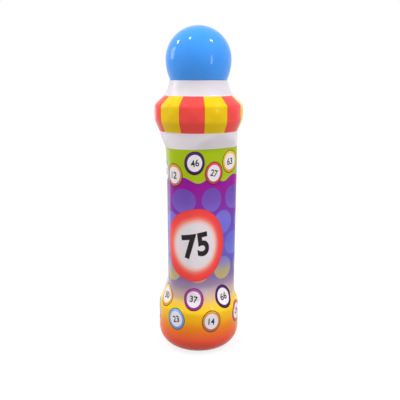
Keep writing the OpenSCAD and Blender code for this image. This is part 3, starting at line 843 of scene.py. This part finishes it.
thread = bmesh.new()
foot_r, crest_r = neck_r - THREAD_DEEP, neck_r + THREAD_HIGH
section = [(foot_r, -THREAD_ROOT), (crest_r, -THREAD_CREST)]
section += [(crest_r, THREAD_CREST), (foot_r, THREAD_ROOT)]
climb = (0, 0, THREAD_LEAD * THREAD_TURN / THREAD_STEPS)
screw = {"angle": math.tau * THREAD_TURN, "steps": THREAD_STEPS, "dvec": climb}
for start in (0, 180):
    before = set(thread.verts)
    ring = [thread.verts.new((0, -r, shoulder_top + THREAD_UP + z)) for r, z in section]
    end = thread.faces.new(ring)
    turned = Matrix.Rotation(math.radians(start), 3, "Z")
    bmesh.ops.rotate(thread, verts=ring, cent=(0, 0, 0), matrix=turned)
    bmesh.ops.spin(thread, geom=[end], **AXIS, **screw)
    for vert in set(thread.verts) - before:
        along = (azimuth_of(vert.co) - start + START_SLACK_DEG) % 360 / 360 / THREAD_TURN
        taper = max(THREAD_TIP, min(1, along / THREAD_TAPER, (1 - along) / THREAD_TAPER))
        out = vert.co.xy.length
        vert.co.xy *= (foot_r + (out - foot_r) * taper) / out
finish_piece("neck_threads", welded(thread), hdpe, "bottle")

# %% [markdown]
# The ball cap is a hollow shell. Its outside is a sphere that runs into a short skirt, and the rim of
# the skirt is rounded where it meets the shoulder. Blender's own sphere has no skirt, so the outline
# is measured on the construction, with rays towards the middle of the ball, and spun.

# %% Ball cap
CAP_WALL = 1.1 * MM
CAP_COLUMNS = 128
CAP_ROWS = 56
CAP_PROBE = 0.05 * MM
RIM_GAP = 0.08 * MM
RIM_ROUND = 0.1 * MM

cap_skin = skin_of("cap_shell")
cap_low, cap_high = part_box("cap_shell")
ball_r = (cap_high.x - cap_low.x) / 2
ball_z = cap_high.z - ball_r
rim_z = cap_low.z + CAP_PROBE
lowest = math.atan2(rim_z - ball_z, radius_at(cap_skin, 0, rim_z))
outline = []
for k in range(CAP_ROWS):
    lift = lowest + (math.pi / 2 - lowest) * k / CAP_ROWS
    way = Vector((0, -math.cos(lift), math.sin(lift)))
    hit = cap_skin.ray_cast(way * REACH + Vector((0, 0, ball_z)), -way)[0]
    outline.append((-hit.y, hit.z))
outline[0] = (outline[0][0], shoulder_top + RIM_GAP)
outline.append((0, cap_high.z))
cap = spun(outline, CAP_COLUMNS)
cap_piece = finish_piece("ball_cap", cap, blue_pp, "cap", ["cap_shell"])
wall(cap_piece, CAP_WALL, rounded=RIM_ROUND)
print("ball radius:", round(ball_r / MM, 2), "mm, rim:", round(outline[0][0] / MM, 2), "mm")

# %% [markdown]
# The tip is a foam pad under a fine nylon cover. Both are turned domes, and both outlines are
# measured in the same way as the cap's. The length of the cover's outline, from its crown to its held
# edge, is the radius of the round of cloth that it was cut from.

# %% Tip outlines
TIP_COLUMNS = 96
TIP_ROWS = 30
TIP_PROBE = 0.02 * MM


def dome_outline(node):
    """The outside of a round node, from its lower rim to its crown."""
    skin = skin_of(node)
    low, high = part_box(node)
    points = []
    for k in range(TIP_ROWS):
        lift = math.pi / 2 * k / TIP_ROWS
        way = Vector((0, -math.cos(lift), math.sin(lift)))
        hit = skin.ray_cast(way * REACH + Vector((0, 0, low.z + TIP_PROBE)), -way)[0]
        points.append((-hit.y, hit.z))
    return points + [(0, high.z)]


cover_outline = dome_outline("mesh_cover")
lengths = [math.dist(a, b) for a, b in zip(cover_outline, cover_outline[1:])]

# %% [markdown]
# The cover is knitted nylon, with about three threads to the millimetre, too fine to show here. So a
# plain weave stands for it, drawn much coarser, at 1.2 mm a thread. Two wave patterns at a right
# angle draw the threads, and the higher of them is what shows. They read a UV map that counts threads
# along the cloth, so the pattern bends with the dome. Where the threads dip, the colour is painted
# darker, as painted shade.

# %% Weave
THREAD_PITCH = 1.2 * MM
# a wave turns through 20 radians in a unit, so this scale draws one thread to a unit
WAVE_SCALE = math.tau / 20
WEAVE_DEEP = 0.08 * MM
# painted shade: the cloth is darker where the threads dip, read from the same height as the bump
WEAVE_GAP_SHADE_TINTS = [(0.3, "#bdbac2"), (0.9, "#f4f1f5")]

# nylon fabric, left white: matt, with a soft sheen where its threads turn away, and painted shade in
# the dips between them
woven, tree = new_material("nylon_plain_weave")
label = add(tree, "UVMap", {"uv_map": "cloth"})
yarns = []
for turn in (0.0, math.pi / 2):
    turned = add(tree, "Mapping", None, {"Vector": label, "Rotation": (0.0, 0.0, turn)})
    yarn = add(tree, "TexWave", None, {"Vector": turned, "Scale": WAVE_SCALE})
    yarns.append(yarn.node.outputs["Fac"])
crossing = add(tree, "Math", {"operation": "MAXIMUM"}, {0: yarns[0], 1: yarns[1]})
cloth_colour_and_gap_shade = add(tree, "ValToRGB", None, {0: crossing}, WEAVE_GAP_SHADE_TINTS)
cloth_bump = add(tree, "Bump", None, {"Height": crossing, "Distance": WEAVE_DEEP})
surface = {"Base Color": cloth_colour_and_gap_shade, "Normal": cloth_bump, "Roughness": 0.75, "IOR": 1.53}
shader = add(tree, "BsdfPrincipled", None, {**surface, "Sheen Weight": 0.25})
add(tree, "OutputMaterial", None, {"Surface": shader})
print("thread pitch:", THREAD_PITCH / MM, "mm")

# %% [markdown]
# The cover was cut as a round of cloth and pulled tight over the pad. A simulation would only pull
# it onto the dome that the ring already gives it, so the dome is spun, and each corner of a face is
# given its place on the cloth.

# %% Cover cloth
CLOTH_THICK = 0.3 * MM

cover = spun(cover_outline, TIP_COLUMNS)
cloth_uv = cover.loops.layers.uv.new("cloth")
heights = [z for r, z in cover_outline]
from_crown = [sum(lengths[k:]) for k in range(len(cover_outline))]
for face in cover.faces:
    for loop in face.loops:
        row = min(range(len(heights)), key=lambda k: abs(heights[k] - loop.vert.co.z))
        spread = outward(azimuth_of(loop.vert.co)) * (from_crown[row] / THREAD_PITCH)
        loop[cloth_uv].uv = spread.xy
cover_piece = finish_piece("cover_cloth", cover, woven, "pad", ["mesh_cover"], 60)
wall(cover_piece, CLOTH_THICK)

# %% [markdown]
# The pad is polyurethane foam, blown as a block and cut, so its surface is all opened cells. A
# Voronoi pattern is made of such cells. They are 0.7 mm wide, as in a coarse foam. Each is darker in
# its middle, a painted shade in the hollow of the pore, and a bump sets it off from its neighbours.

# %% Foam pad
FOAM_CELL = 0.7 * MM
FOAM_DEEP = 0.15 * MM
# painted shade: each cell is darker towards its middle, where the pore is hollow
FOAM_PORE_SHADE_TINTS = [(0, "#d8d2c4"), (0.6, "#f1ede2")]

# polyurethane foam, cut: dead matt and cream white, with painted shade in its pores
foam, tree = new_material("polyurethane_foam_open_cell")
place = add(tree, "TexCoord").node.outputs["Object"]
cells = add(tree, "TexVoronoi", None, {"Vector": place, "Scale": 1 / FOAM_CELL})
foam_colour_and_pore_shade = add(tree, "ValToRGB", None, {0: cells}, FOAM_PORE_SHADE_TINTS)
foam_bump = add(tree, "Bump", {"invert": True}, {"Height": cells, "Distance": FOAM_DEEP})
surface = {"Base Color": foam_colour_and_pore_shade, "Normal": foam_bump, "Roughness": 0.95, "IOR": 1.5}
shader = add(tree, "BsdfPrincipled", None, surface)
add(tree, "OutputMaterial", None, {"Surface": shader})

pad = spun([(0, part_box("sponge_pad")[0].z), *dome_outline("sponge_pad")], TIP_COLUMNS)
pad_piece = finish_piece("foam_pad", pad, foam, "pad", ["sponge_pad"], 60)

# %% [markdown]
# The valve's spring is a coil of round wire. A curve with a round section could draw it, but the
# screw spin that made the threads does it too. When the pad is pressed, the real coil flattens towards
# the cage that it stands on; this one keeps its rest shape.

# %% Valve spring
WIRE_D = 0.5 * MM
WIRE_SIDES = 12
COIL_TURNS = 5
COIL_STEPS = 48

spring_low, spring_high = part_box("valve_spring")
coil_r = spring_high.x - WIRE_D / 2
rise = spring_high.z - spring_low.z - WIRE_D
coil = bmesh.new()
bmesh.ops.create_circle(coil, cap_ends=True, segments=WIRE_SIDES, radius=WIRE_D / 2)
upright = Matrix.Rotation(math.pi / 2, 3, "Y")
bmesh.ops.rotate(coil, verts=coil.verts, cent=(0, 0, 0), matrix=upright)
bmesh.ops.translate(coil, verts=coil.verts, vec=(0, -coil_r, spring_low.z + WIRE_D / 2))
steps = COIL_STEPS * COIL_TURNS
screw = {"angle": math.tau * COIL_TURNS, "steps": steps, "dvec": (0, 0, rise / steps)}
bmesh.ops.spin(coil, geom=coil.faces[:], **AXIS, **screw)
coil = welded(coil)
spring = finish_piece("spring_coil", coil, spring_wire, "bottle", ["valve_spring"])
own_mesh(spring)

# %% [markdown]
# The ink is a dyed, water-based liquid, so it is dark and mirror smooth. It fills the bottle to the
# level of the construction. Its outline over the push-up of the foot is measured with upright rays,
# and the rest of its points are spun at the label's radius and then drawn in to the inner wall.

# %% Ink
INK_COLUMNS = 96
# a ray up the axis itself could slip between faces, so the first one stands 0.1 mm off it
INK_FOOT_R = (0.1, 3, 6, 7, 8, 9, 10, 11, 12, 13)
INK_FOOT_UP = 0.4 * MM
INK_TOP_DOWN = 0.3 * MM
LEVEL_IN = 0.02 * MM
INK_SWIRL = 9 * MM

# dyed ink, water based: deep blue, smooth as a mirror, with slow swirls of tone
ink_material, tree = new_material("dyed_ink_water_based")
place = add(tree, "TexCoord").node.outputs["Object"]
swirl = add(tree, "TexNoise", None, {"Vector": place, "Scale": 1 / INK_SWIRL, "Distortion": 0.6})
ink_colour = add(tree, "ValToRGB", None, {0: swirl}, [(0.3, "#14308f"), (0.8, "#1b3fa6")])
ink_sheen = add(tree, "MapRange", None, {0: swirl, 3: 0.04, 4: 0.07})
surface = {"Base Color": ink_colour, "Roughness": ink_sheen, "IOR": 1.34}
shader = add(tree, "BsdfPrincipled", None, surface)
add(tree, "OutputMaterial", None, {"Surface": shader})

ink_skin = skin_of("ink_fill")
ink_low, ink_high = (end.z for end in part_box("ink_fill"))
outline = []
for r in INK_FOOT_R:
    hit = ink_skin.ray_cast(Vector((0, -r * MM, -REACH)), Vector((0, 0, 1)))[0]
    outline.append((r * MM, hit.z))
outline[0] = (0, outline[0][1])
inner_rows = [z for z in film_z if ink_low + INK_FOOT_UP < z < ink_high - INK_TOP_DOWN]
outline += [(LABEL_R, z) for z in inner_rows[::2]] + [(LABEL_R, ink_high), (0, ink_high)]
ink_body = spun(outline, INK_COLUMNS)
for vert in ink_body.verts:
    if vert.co.xy.length > ON_LABEL:
        z = min(vert.co.z, ink_high - LEVEL_IN)
        vert.co.xy *= radius_at(ink_skin, azimuth_of(vert.co), z) / vert.co.xy.length
finish_piece("ink_body", ink_body, ink_material, "bottle", ["ink_fill"])

# %% [markdown]
# The pieces of the valve and the inside of the cap keep their construction shapes, which are already
# exact, and only get their real materials.

# %% Materials of the kept nodes
KEPT = {
    "applicator_housing": natural_pp,
    "retainer_ring": natural_pp,
    "spring_cage": natural_pp,
    "plunger": acetal,
    "poppet": acetal,
    "valve_seal": seal_tpe,
    "neck_gasket": seal_tpe,
    "cap_seal": liner_foam,
    "cap_insert": natural_pp,
}
for name, material in KEPT.items():
    for held in nodes[name].material_slots:
        held.material = material
print("kept nodes:", len(KEPT))

# %% [markdown]
# The stage is a plain studio: a pale floor that glows, and a white surround. A floor lit until it is
# white would light the object from below. So it is grey to the lamps, and glows only for rays from
# the camera, from a mirror or through glass. The glow is a little weaker than white and the lamps
# make up the rest, so a shadow still shows. The lamps fade with distance and the glow grows, so the
# floor meets the surround without a line.

# %% Floor
FLOOR_HALF = 12.0
FLOOR_GREY = "#8a8a8a"
GLOW_NEAR = 0.79
GLOW_FAR = 0.9
GLOW_REACH = 2.0


def seen_rays(tree):
    """1 for rays from the camera, a reflection or through glass, and 0 for the light's own."""
    paths = add(tree, "LightPath").node.outputs
    direct = {0: paths["Is Camera Ray"], 1: paths["Is Glossy Ray"]}
    direct = add(tree, "Math", {"operation": "MAXIMUM"}, direct)
    through = {0: direct, 1: paths["Is Transmission Ray"]}
    return add(tree, "Math", {"operation": "MAXIMUM"}, through)


floor_material, tree = new_material("studio_floor_pale")
place = add(tree, "TexCoord").node.outputs["Object"]
away = add(tree, "VectorMath", {"operation": "LENGTH"}, {0: place})
level = add(tree, "MapRange", None, {0: away, 2: GLOW_REACH, 3: GLOW_NEAR, 4: GLOW_FAR})
glow = add(tree, "Math", {"operation": "MULTIPLY"}, {0: seen_rays(tree), 1: level})
lit = add(tree, "BsdfDiffuse", None, {"Color": linear(FLOOR_GREY)})
shine = add(tree, "Emission", None, {"Strength": glow})
both = add(tree, "AddShader", None, {0: lit, 1: shine})
add(tree, "OutputMaterial", None, {"Surface": both})

floor_bm = bmesh.new()
bmesh.ops.create_grid(floor_bm, x_segments=2, y_segments=2, size=FLOOR_HALF)
floor = from_bmesh("floor", floor_bm, floor_material)
print("floor glow:", GLOW_NEAR, "to", GLOW_FAR)

# %% [markdown]
# The surround is white where it is seen, also in a reflection, and much weaker as a light, so that it
# only lifts the shadows. View transform Standard shows each colour as it is written.

# %% Surround
SURROUND_LIGHT = 0.38
SURROUND_SEEN = 1.0

world = bpy.data.worlds.new("surround")
world.use_nodes = True
world.node_tree.nodes.clear()
tree = world.node_tree
strength = add(tree, "MapRange", None, {0: seen_rays(tree), 3: SURROUND_LIGHT, 4: SURROUND_SEEN})
around_us = add(tree, "Background", None, {"Color": (1, 1, 1, 1), "Strength": strength})
add(tree, "OutputWorld", None, {"Surface": around_us})
bpy.context.scene.world = world
bpy.context.scene.view_settings.view_transform = "Standard"
print("surround as a light:", SURROUND_LIGHT)

# %% [markdown]
# Three wide lamps, one overhead and one at each side, give the shading. They leave no picture of
# themselves on the gloss, as a ceiling that is lit all over leaves none. The ball is a mirror, so it
# tells where the photograph's small lamps stood: three in the ceiling give its dots, and two low
# strips at the sides give its upright streaks. Each row below is a direction from the ball, a
# distance in metres, a width, a height and a power in watts.

# %% Lamps
LAMPS = {
    "ceiling_wide": ((0.0, 0.0, 1.0), 1.0, 2.2, 2.2, 5.7),
    "side_left": ((-0.78, -0.45, 0.44), 1.2, 1.0, 1.0, 5.9),
    "side_right": ((0.78, -0.45, 0.5), 1.2, 1.0, 1.0, 6.9),
    "ceiling_left": ((-0.765, 0.22, 0.62), 1.2, 0.09, 0.09, 2.2),
    "ceiling_middle": ((-0.372, -0.163, 0.914), 1.2, 0.065, 0.065, 1.6),
    "ceiling_right": ((0.561, -0.170, 0.810), 1.2, 0.11, 0.11, 3.0),
    "strip_left": ((-0.943, 0.219, 0.25), 0.6, 0.17, 0.26, 0.6),
    "strip_right": ((0.70, -0.69, 0.0), 0.5, 0.03, 0.16, 0.2),
}
WIDE_FROM = 1.0

ball_middle = Vector((0, 0, ball_z))
for name, (way, distance, width, height, watts) in LAMPS.items():
    small = width < WIDE_FROM
    data = bpy.data.lights.new(name, "AREA")
    data.shape = "DISK" if small and width == height else "RECTANGLE"
    data.size = width
    data.size_y = height
    data.energy = watts
    made = bpy.data.objects.new(name, data)
    bpy.context.scene.collection.objects.link(made)
    made.location = ball_middle + Vector(way).normalized() * distance
    made.rotation_euler = (made.location - ball_middle).to_track_quat("Z", "Y").to_euler()
    made.visible_camera = False
    made.visible_glossy = small
print("lamps:", len(LAMPS))
